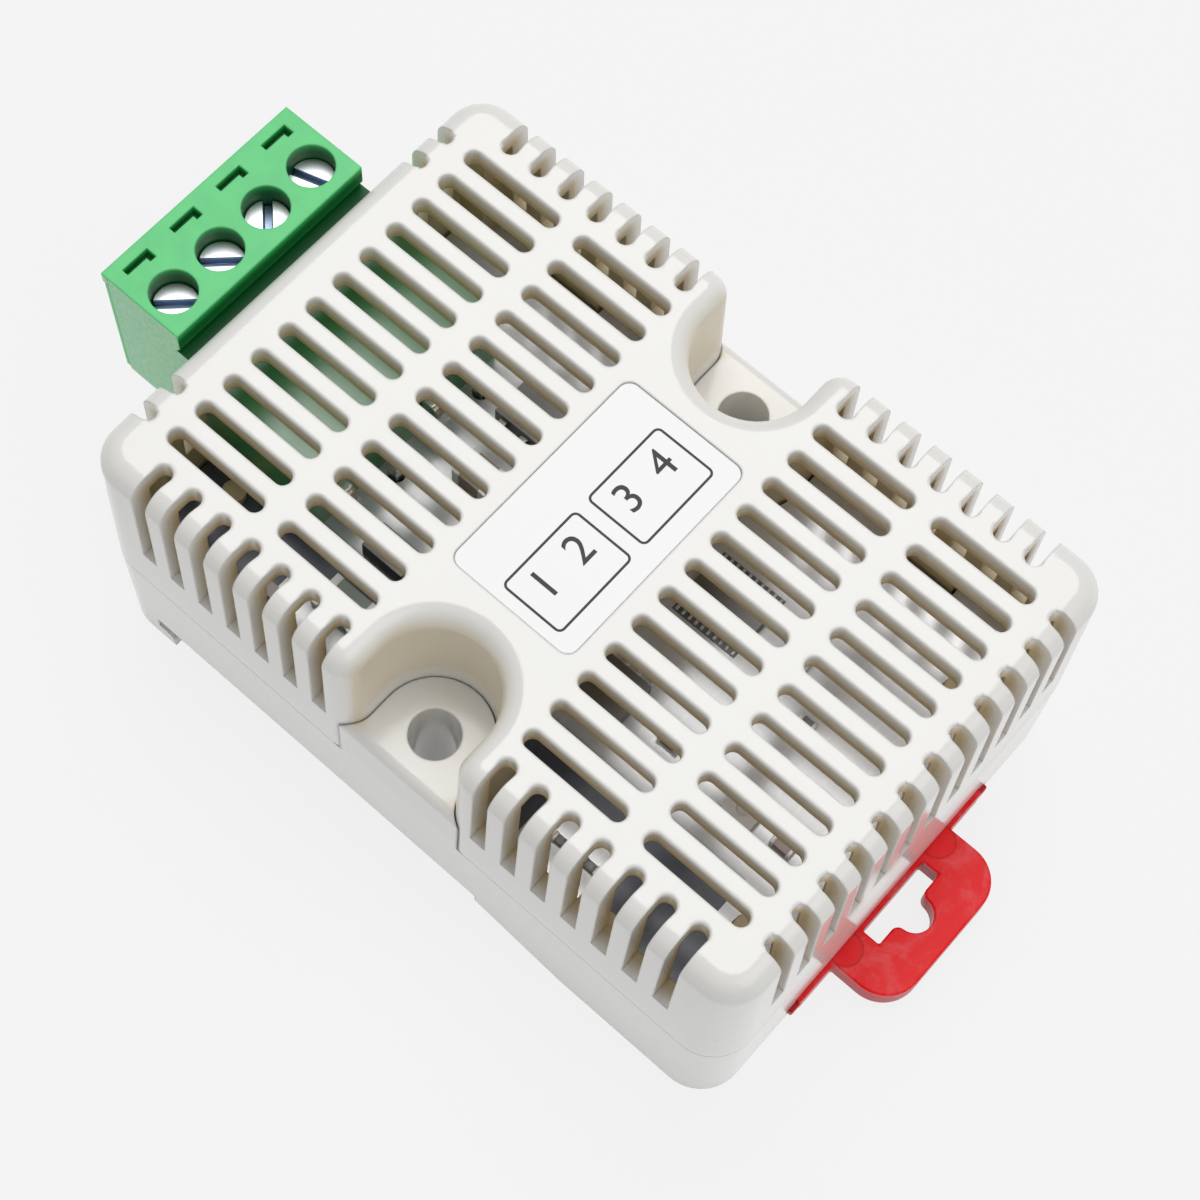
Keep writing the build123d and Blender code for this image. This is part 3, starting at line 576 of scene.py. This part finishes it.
def skin_normals(points):
    """The case's outward direction at points in millimetres, and how deep they lie below its skin.

    The case is a box with round upright corners and a round top edge. Past the straight stretches
    the direction is the way from their end, and the drafted walls lean it up a little.
    """
    slope = np.where(points[:, 2] > seam_height, draft_slope, 0.0)
    lean = (np.clip(points[:, 2], seam_height, case_top - case_rounding) - seam_height) * draft_slope
    flat = points[:, :2] - np.array([case_middle_x, 0.0])
    straight = np.array([case_half_length, case_half_width]) - case_corner
    past = np.maximum(np.abs(flat) - straight, 0.0)
    reach = np.maximum(np.linalg.norm(past, axis=1), 1e-6)
    side = np.maximum(reach + lean - (case_corner - case_rounding), 0.0)
    rise = np.maximum(points[:, 2] - (case_top - case_rounding), 0.0)
    way = past / reach[:, None] * np.sign(flat) * side[:, None]
    ways = np.column_stack([way, rise + slope * side])
    length = np.maximum(np.linalg.norm(ways, axis=1), 1e-6)
    return ways / length[:, None], case_rounding - np.hypot(side, rise)


def smooth_skin(piece):
    """Sets exact normals on the case's skin and keeps the evenly weighted ones elsewhere."""
    least_agreement = 0.8
    bpy.context.view_layer.update()
    seen = piece.evaluated_get(bpy.context.evaluated_depsgraph_get())
    mesh = piece.data
    count = len(mesh.loops)
    normals = np.empty(count * 3)
    seen.data.corner_normals.foreach_get("vector", normals)
    normals = normals.reshape(-1, 3)
    places, owners = np.empty(len(mesh.vertices) * 3), np.empty(count, np.int32)
    mesh.vertices.foreach_get("co", places)
    mesh.loops.foreach_get("vertex_index", owners)
    exact, depth = skin_normals(places.reshape(-1, 3)[owners] / MM)
    totals, facing = np.empty(len(mesh.polygons), np.int32), np.empty(len(mesh.polygons) * 3)
    mesh.polygons.foreach_get("loop_total", totals)
    mesh.polygons.foreach_get("normal", facing)
    facing = np.repeat(facing.reshape(-1, 3), totals, axis=0)
    on_skin = (np.abs(depth) < SKIN_GAP) & ((exact * facing).sum(1) > least_agreement)
    normals[on_skin] = exact[on_skin]
    piece.modifiers.clear()
    mesh.normals_split_custom_set(normals.tolist())


def shell(node, name, material, rim_radius=0.0):
    """A merged copy of one of the case's shells, shaded smooth between its sharp edges.

    The rims of the openings in its flat top are rounded where a rim radius is given.
    """
    work = merged_copy(node, flat_angle=0.02)
    if rim_radius:
        close_corners(work)
        level, high = 0.9999, (case_top - 0.01) * MM
        top = {f for f in work.faces if f.normal.z > level and f.calc_center_median().z > high}
        round_rims(work, top, rim_radius, label_recess_half)
    for edge in work.edges:
        edge.smooth = edge.calc_face_angle(0.0) < SHARP
    for face in work.faces:
        face.smooth = True
        face.material_index = 0
    mesh = bpy.data.meshes.new(name)
    work.to_mesh(mesh)
    work.free()
    mesh.materials.append(material)
    smooth_skin(stand_in(link_mesh(name, mesh), node, "root"))


def without_grooves(work):
    """Fills the lip's two shallow grooves, which the plug's colour bands stand for."""
    groove_depth, lowest, highest = 0.5, 2.79, 0.05
    for corner in work.verts:
        from_front, from_top = corner.co.x / MM - plug_low.x, plug_high.z - corner.co.z / MM
        if plug_lip - groove_depth < from_front < plug_lip and highest < from_top < lowest:
            corner.co.x = (plug_low.x + plug_lip) * MM


def softened(node, name, body, radius, materials, choose=None, segments=2, change=None):
    """A merged copy of a CAD node whose sharp edges are rounded, and which stands for it.

    choose, where given, takes the faces' middles in millimetres and gives each face's material.
    change, where given, alters the copy before its edges are rounded.
    """
    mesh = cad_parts[node].data.copy()
    work = merged_copy(node)
    if change is not None:
        change(work)
        merge(work)
    work.to_mesh(mesh)
    work.free()
    mesh.materials.clear()
    for material in materials:
        mesh.materials.append(material)
    count = len(mesh.polygons)
    mesh.polygons.foreach_set("use_smooth", np.ones(count, bool))
    if choose is not None:
        middles = np.empty(count * 3)
        mesh.polygons.foreach_get("center", middles)
        picked = choose(middles.reshape(-1, 3) / MM)
        mesh.polygons.foreach_set("material_index", picked.astype(np.int32))
    else:
        mesh.polygons.foreach_set("material_index", np.zeros(count, np.int32))
    piece = link_mesh(name, mesh)
    bevel = piece.modifiers.new("Soft edges", "BEVEL")
    bevel.width = radius * MM
    bevel.segments = segments
    bevel.limit_method = "ANGLE"
    bevel.angle_limit = SHARP
    bevel.use_clamp_overlap = True
    bevel.loop_slide = True
    bevel.harden_normals = False
    return stand_in(piece, node, body)


def grid_mesh(name, points, closed_u, closed_v, material):
    """A surface from a grid of points in millimetres, joined to quads along both directions."""
    rows, columns = points.shape[:2]
    index = np.arange(rows * columns).reshape(rows, columns)
    across = np.roll(index, -1, 0) if closed_u else index[1:]
    first = index if closed_u else index[:-1]
    quads = np.stack([first, np.roll(first, -1, 1), np.roll(across, -1, 1), across], -1)
    quads = quads if closed_v else quads[:, :-1]
    mesh = bpy.data.meshes.new(name)
    mesh.from_pydata((points.reshape(-1, 3) * MM).tolist(), [], quads.reshape(-1, 4).tolist())
    mesh.materials.append(material)
    return mesh


def rounded_outline(half_x, half_y, radius, steps=6):
    """Points round a rectangle with quarter-circle corners, counter-clockwise."""
    turn = np.linspace(0, math.pi / 2, steps)
    corners = []
    for quarter, (sx, sy) in enumerate(((1, 1), (-1, 1), (-1, -1), (1, -1))):
        angle = turn + quarter * math.pi / 2
        middle = np.array([sx * (half_x - radius), sy * (half_y - radius)])
        corners.append(middle + radius * np.stack([np.cos(angle), np.sin(angle)], -1))
    return np.concatenate(corners)


def printed_ring(name, middle, half_x, half_y, radius, line, height, material):
    """A printed frame: two rounded outlines, one line width apart, with a film's thickness."""
    outer = rounded_outline(half_x, half_y, radius)
    inner = rounded_outline(half_x - line, half_y - line, radius - line)
    low, high = height
    section = [(inner, low), (inner, high), (outer, high), (outer, low)]
    points = np.stack(
        [np.column_stack([plan + middle, np.full(len(plan), z)]) for plan, z in section], 1
    )
    return link_mesh(name, grid_mesh(name, points, True, True, material))


def printed_digit(name, text, middle, size, turn, height, material):
    """A plain numeral as a thin mesh, standing on the label."""
    font = bpy.data.curves.new(name, "FONT")
    font.body = text
    font.size = size * MM
    font.align_x = "CENTER"
    font.align_y = "CENTER"
    font.resolution_u = 6
    font.extrude = (height[1] - height[0]) / 2 * MM
    holder = link_mesh(name + "_text", font)
    bpy.context.view_layer.update()
    mesh = bpy.data.meshes.new_from_object(holder)
    bpy.data.objects.remove(holder)
    count = len(mesh.vertices)
    places = np.empty(count * 3)
    mesh.vertices.foreach_get("co", places)
    places = places.reshape(-1, 3)
    spin = np.array([[math.cos(turn), -math.sin(turn)], [math.sin(turn), math.cos(turn)]])
    places[:, :2] = places[:, :2] @ spin.T + np.array(middle) * MM
    places[:, 2] += (height[0] + height[1]) / 2 * MM
    mesh.vertices.foreach_set("co", places.ravel())
    mesh.materials.clear()
    mesh.materials.append(material)
    mesh.name = name
    return link_mesh(name, mesh)


def outside_y(node, body_share):
    """Picks material 1 for the faces that lie outside a chip's moulded body along Y."""
    low, high = in_mm(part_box(node))
    middle = (low.y + high.y) / 2
    half = (high.y - low.y) / 2 * body_share
    return lambda faces: np.abs(faces[:, 1] - middle) > half


def end_faces(node, cap, length):
    """Picks material 1 for the tinned ends of the small blocks in a node.

    A block's faces lie within half its length of its middle; the ends are those more than half
    the length less the cap away. The middles are those of the mesh's separate blocks.
    """
    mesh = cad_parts[node].data
    places = np.empty(len(mesh.vertices) * 3)
    mesh.vertices.foreach_get("co", places)
    places = places.reshape(-1, 3) / MM
    row_half, edge_gap = 1.7, 0.02

    def choose(faces):
        picked = np.zeros(len(faces), bool)
        for number, face in enumerate(faces):
            near = places[np.abs(places - face)[:, :2].max(1) < length + cap / 2]
            near = near[np.abs(near[:, 1] - face[1]) < row_half]
            middle = (near[:, 0].min() + near[:, 0].max()) / 2
            picked[number] = abs(face[0] - middle) > length / 2 - cap - edge_gap
        return picked

    return choose


# Floor, room and lights


def floor_plane(half):
    """A pale floor under the feet.

    To the camera and in reflections it mostly glows, which leaves the soft shadow faint.
    """
    glow_share = 0.9
    low = min(cad_box[0].z / MM, 0.0)
    steps = np.linspace(-half, half, 2)
    x, y = np.meshgrid(steps, steps, indexing="ij")
    points = np.stack([x, y, np.full_like(x, low)], -1)
    finish = Finish("floor paper", Roughness=0.9)
    finish.color(PAPER)
    rays = finish.nodes.new("ShaderNodeLightPath")
    seen = Signal(finish, rays.outputs["Is Camera Ray"]).most(Signal(finish, rays.outputs["Is Glossy Ray"]))
    glow = finish.node("ShaderNodeEmission", None, {"Color": PAPER, "Strength": 1.0})
    lit = Signal(finish, finish.surface.outputs[0])
    shader = finish.node("ShaderNodeMixShader", None, {0: seen * glow_share, 1: lit, 2: glow})
    finish.put(finish.nodes["Material Output"].inputs["Surface"], shader)
    return link_mesh("floor", grid_mesh("floor", points, False, False, finish.material))


def pale_world(scene, level, seen_color):
    """Even light all round. What the camera sees of it is the pale background."""
    world = bpy.data.worlds.new("studio")
    world.use_nodes = True
    scene.world = world
    nodes, links = world.node_tree.nodes, world.node_tree.links
    rays = nodes.new("ShaderNodeLightPath")
    either = nodes.new("ShaderNodeMath")
    either.operation = "MAXIMUM"
    links.new(rays.outputs["Is Camera Ray"], either.inputs[0])
    links.new(rays.outputs["Is Transmission Ray"], either.inputs[1])
    lit, shown = nodes.new("ShaderNodeBackground"), nodes.new("ShaderNodeBackground")
    lit.inputs["Color"].default_value = (1.0, 1.0, 1.0, 1.0)
    lit.inputs["Strength"].default_value = level
    shown.inputs["Color"].default_value = seen_color
    shown.inputs["Strength"].default_value = 1.0
    choose = nodes.new("ShaderNodeMixShader")
    links.new(either.outputs[0], choose.inputs[0])
    links.new(lit.outputs[0], choose.inputs[1])
    links.new(shown.outputs[0], choose.inputs[2])
    links.new(choose.outputs[0], nodes["World Output"].inputs["Surface"])


def softbox(name, middle, azimuth, elevation, side, power):
    """A square area light that looks at the object from an azimuth and an elevation."""
    a, e = math.radians(azimuth), math.radians(elevation)
    back = Vector((math.sin(a) * math.cos(e), -math.cos(a) * math.cos(e), math.sin(e)))
    light = bpy.data.lights.new(name, "AREA")
    light.energy = power
    light.size = side * MM
    holder = bpy.data.objects.new(name, light)
    bpy.context.scene.collection.objects.link(holder)
    holder.location = (middle + back * LIGHT_DISTANCE) * MM
    holder.rotation_mode = "QUATERNION"
    holder.rotation_quaternion = (-back).to_track_quat("-Z", "Y")


# Sizes and colours that a user would change


class SensorSettings(bpy.types.PropertyGroup):
    edge_radius: bpy.props.FloatProperty(
        name="Case edge radius", description="Round on the case's sharp edges, in millimetres",
        default=0.28, min=0.02, max=0.6,
    )
    fine_radius: bpy.props.FloatProperty(
        name="Fine edge radius", description="Round on small parts' edges, in millimetres",
        default=0.08, min=0.01, max=0.3,
    )
    case_color: bpy.props.FloatVectorProperty(
        name="Case", description="Colour of the case's skin", subtype="COLOR", size=4,
        default=linear(244, 243, 239), min=0, max=1,
    )
    # Painted shade: the beige that the case turns to deep in its slots
    slot_shade_color: bpy.props.FloatVectorProperty(
        name="Slot walls", description="Colour deep in the slots", subtype="COLOR", size=4,
        default=linear(224, 206, 168), min=0, max=1,
    )
    latch_color: bpy.props.FloatVectorProperty(
        name="Latch", description="Colour of the rail latch", subtype="COLOR", size=4,
        default=linear(255, 8, 20), min=0, max=1,
    )
    latch_streak: bpy.props.FloatVectorProperty(
        name="Latch streaks", description="Colour of the latch's flow streaks", subtype="COLOR", size=4,
        default=linear(255, 80, 84), min=0, max=1,
    )
    plug_color: bpy.props.FloatVectorProperty(
        name="Plug", description="Colour of the terminal plug", subtype="COLOR", size=4,
        default=linear(112, 226, 144), min=0, max=1,
    )
    plug_shade: bpy.props.FloatVectorProperty(
        name="Plug depths", description="Colour inside the plug's wells and grooves", subtype="COLOR",
        size=4, default=linear(10, 104, 46), min=0, max=1,
    )
    # Painted reflection: the near-white stands for the pale case mirrored in the board's dark lacquer
    board_reflection_color: bpy.props.FloatVectorProperty(
        name="Board", description="Colour of the board's lacquer", subtype="COLOR", size=4,
        default=linear(232, 238, 255), min=0, max=1,
    )
    ink_color: bpy.props.FloatVectorProperty(
        name="Ink", description="Colour of the label's print", subtype="COLOR", size=4,
        default=linear(22, 14, 22), min=0, max=1,
    )
    focal_length: bpy.props.FloatProperty(
        name="Lens", description="Focal length on a 36 mm sensor, in millimetres",
        default=75.769, min=20, max=200,
    )
    key_power: bpy.props.FloatProperty(
        name="Key light", description="Power of the large softbox behind the object, in watts",
        default=2.0, min=0, max=50,
    )
    side_power: bpy.props.FloatProperty(
        name="Side light", description="Power of the softbox beyond the latch, in watts",
        default=0.8, min=0, max=50,
    )
    fill_level: bpy.props.FloatProperty(
        name="Room light", description="Brightness of the even light around the object",
        default=0.4, min=0, max=3,
    )


def sensor_settings():
    """The sizes and colours as they are set now."""
    return bpy.context.scene.sensor_settings


# Operators, one for each piece or group


class SENSOR_OT_case(bpy.types.Operator):
    """Softens and finishes the vented cover and the base shell"""

    bl_idname = "sensor.case"
    bl_label = "Case shells"

    def execute(self, context):
        chosen = sensor_settings()
        # The slot colour is painted shade deep in the slots
        skin, wall = tuple(chosen.case_color), tuple(chosen.slot_shade_color)
        plastic = case_plastic("case plastic", skin, wall, 0.15, edge_radius=chosen.edge_radius)
        shell("top_cover", "cover_shell", plastic, chosen.edge_radius)
        shell("base_shell", "base_tray", plastic)
        return {"FINISHED"}


class SENSOR_OT_label(bpy.types.Operator):
    """Finishes the label film and prints its frames and plain numerals"""

    bl_idname = "sensor.label"
    bl_label = "Label"

    def execute(self, context):
        chosen = sensor_settings()
        film = label_film("label film", linear(255, 255, 255))
        ink = print_ink("label ink", tuple(chosen.ink_color))
        softened("front_label", "label_film", "root", chosen.fine_radius / 2, [film])
        print_height = (label_high.z, label_high.z + 0.012)
        frame_x = (label_low.x + label_high.x) / 2 + 1.28
        half_x, half_y, corner, line = 2.92, 4.12, 0.55, 0.2
        digit_size, digit_shift, digit_reach = 3.6, -0.5, 1.9
        for number, frame_y in enumerate((-5.0, 4.45)):
            middle = np.array([frame_x, frame_y])
            ring = printed_ring(
                f"label_frame_{number + 1}", middle, half_x, half_y, corner, line, print_height, ink
            )
            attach(ring, "root")
            for place, side in enumerate((-1, 1)):
                text = str(2 * number + place + 1)
                spot = middle + np.array([digit_shift, side * digit_reach])
                digit = printed_digit(
                    f"label_digit_{text}", text, spot, digit_size, math.pi / 2, print_height, ink
                )
                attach(digit, "root")
        return {"FINISHED"}


class SENSOR_OT_latch(bpy.types.Operator):
    """Softens and finishes the red rail latch"""

    bl_idname = "sensor.latch"
    bl_label = "Rail latch"

    def execute(self, context):
        chosen = sensor_settings()
        red = marbled_plastic("latch plastic", tuple(chosen.latch_color), tuple(chosen.latch_streak))
        softened("rail_latch", "latch_slider", "latch", 0.2, [red], segments=3)
        return {"FINISHED"}


class SENSOR_OT_plug(bpy.types.Operator):
    """Softens and finishes the terminal plug, its front plate and contacts, and the header"""

    bl_idname = "sensor.plug"
    bl_label = "Terminal plug and header"

    def execute(self, context):
        chosen = sensor_settings()
        fine = chosen.fine_radius
        green = green_plastic("plug plastic", tuple(chosen.plug_color), tuple(chosen.plug_shade))
        tin = bright_metal("tinned copper", linear(222, 220, 212), 0.22, 0.5)
        softened("plug_body", "plug_block", "plug", fine, [green], change=without_grooves)
        softened("plug_front", "plug_plate", "plug", fine / 2, [green])
        softened("plug_contacts", "plug_sockets", "plug", fine / 2, [tin])
        shroud = header_plastic("header plastic", linear(88, 190, 116))
        softened("header_housing", "header_shroud", "root", fine, [shroud])
        softened("header_pins", "header_pin_row", "root", fine / 2, [tin])
        return {"FINISHED"}


class SENSOR_OT_terminals(bpy.types.Operator):
    """Softens and finishes the slotted screws and the wire clamps"""

    bl_idname = "sensor.terminals"
    bl_label = "Terminal screws and clamps"

    def execute(self, context):
        fine = sensor_settings().fine_radius
        head_top = in_mm(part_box("terminal_screw_1"))[1].z
        # The zinc has painted shade below the heads' top, in their slots
        zinc = bright_metal("zinc plate", linear(240, 243, 247), 0.3, 0.5, head_top)
        for number in range(1, 5):
            screw, clamp = f"terminal_screw_{number}", f"wire_clamp_{number}"
            softened(screw, f"screw_{number}_zinc", f"screw_{number}", fine, [zinc])
            softened(clamp, f"clamp_{number}_zinc", f"clamp_{number}", fine, [zinc])
        return {"FINISHED"}


class SENSOR_OT_board(bpy.types.Operator):
    """Finishes the board, its chips and the small parts on it"""

    bl_idname = "sensor.board"
    bl_label = "Circuit board"

    def execute(self, context):
        chosen = sensor_settings()
        fine = chosen.fine_radius / 2
        # The board's near-white colour is painted reflection
        lacquer = board_lacquer(
            "board lacquer", tuple(chosen.board_reflection_color), linear(244, 247, 255), linear(250, 250, 250)
        )
        black = mould_compound("chip compound", linear(38, 38, 42))
        tin = bright_metal("lead tin", linear(240, 240, 238), 0.35, 0.3)
        pale = mould_compound("sensor compound", linear(196, 196, 190))
        brown = mould_compound("capacitor ceramic", linear(128, 92, 62))
        film = mould_compound("resistor film", linear(40, 40, 46))
        polymer = mould_compound("fuse polymer", linear(40, 96, 60))
        softened("circuit_board", "board_plate", "root", fine, [lacquer])
        # Node, piece, and the moulded body's share of the width over the leads
        chips = (
            ("microcontroller", "controller_chip", 0.69),
            ("bus_transceiver", "transceiver_chip", 0.655),
            ("voltage_regulator", "regulator_chip", 0.505),
        )
        for node, name, share in chips:
            softened(node, name, "root", fine / 2, [black, tin], outside_y(node, share))
        softened("surge_diode", "diode_block", "root", fine, [black])
        softened("climate_sensor", "sensor_chip", "root", fine, [pale])
        # Node, piece, material, slot, length of a tinned end, and length of the block
        small = (
            ("chip_resistors", "resistor_set", film, "resistor_film", 0.35, 1.6),
            ("chip_capacitors", "capacitor_set", brown, "capacitor_ceramic", 0.35, 2.0),
            ("fuse", "fuse_block", polymer, "fuse_polymer", 0.7, 4.5),
            ("input_capacitor", "capacitor_block", brown, "capacitor_ceramic", 0.7, 3.5),
        )
        for node, name, material, slot, cap, length in small:
            softened(node, name, "root", fine / 2, [material, tin], end_faces(node, cap, length))
        return {"FINISHED"}


class SENSOR_OT_stage(bpy.types.Operator):
    """Sets the floor, the soft studio light and the camera"""

    bl_idname = "sensor.stage"
    bl_label = "Stage, light and camera"

    def execute(self, context):
        chosen = sensor_settings()
        scene = context.scene
        scene.view_settings.view_transform = "Standard"
        floor = floor_plane(half=1200.0)
        pale_world(scene, chosen.fill_level, PAPER)
        middle = Vector((case_middle_x, 0.0, case_top))
        softbox("key softbox", middle, azimuth=215, elevation=67, side=430, power=chosen.key_power)
        softbox("side softbox", middle, azimuth=95, elevation=50, side=500, power=chosen.side_power)
        camera = bpy.data.cameras.new("view")
        camera.lens = chosen.focal_length
        camera.sensor_width = 36.0
        camera.clip_start = 0.01
        holder = bpy.data.objects.new("view", camera)
        scene.collection.objects.link(holder)
        holder.location = VIEW_PLACE * MM
        holder.rotation_euler = [math.radians(angle) for angle in VIEW_TURN]
        scene.camera = holder
        return {"FINISHED"}


# The operators in the order in which they run
STEPS = (
    SENSOR_OT_stage,
    SENSOR_OT_case,
    SENSOR_OT_label,
    SENSOR_OT_latch,
    SENSOR_OT_plug,
    SENSOR_OT_terminals,
    SENSOR_OT_board,
)


class SENSOR_PT_panel(bpy.types.Panel):
    """Lists the sensor's pieces in the sidebar"""

    bl_idname = "SENSOR_PT_panel"
    bl_label = "Vented rail sensor"
    bl_space_type = "VIEW_3D"
    bl_region_type = "UI"
    bl_category = "Sensor"

    def draw(self, context):
        chosen = context.scene.sensor_settings
        for name in SensorSettings.__annotations__:
            self.layout.prop(chosen, name)
        for step in STEPS:
            self.layout.operator(step.bl_idname)


CLASSES = (SensorSettings, *STEPS, SENSOR_PT_panel)


def register():
    for item in CLASSES:
        bpy.utils.register_class(item)
    bpy.types.Scene.sensor_settings = bpy.props.PointerProperty(type=SensorSettings)


def unregister():
    del bpy.types.Scene.sensor_settings
    for item in reversed(CLASSES):
        bpy.utils.unregister_class(item)


def main():
    """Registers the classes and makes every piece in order."""
    register()
    for step in STEPS:
        group, action = step.bl_idname.split(".")
        getattr(getattr(bpy.ops, group), action)()


if __name__ == "__main__":
    main()
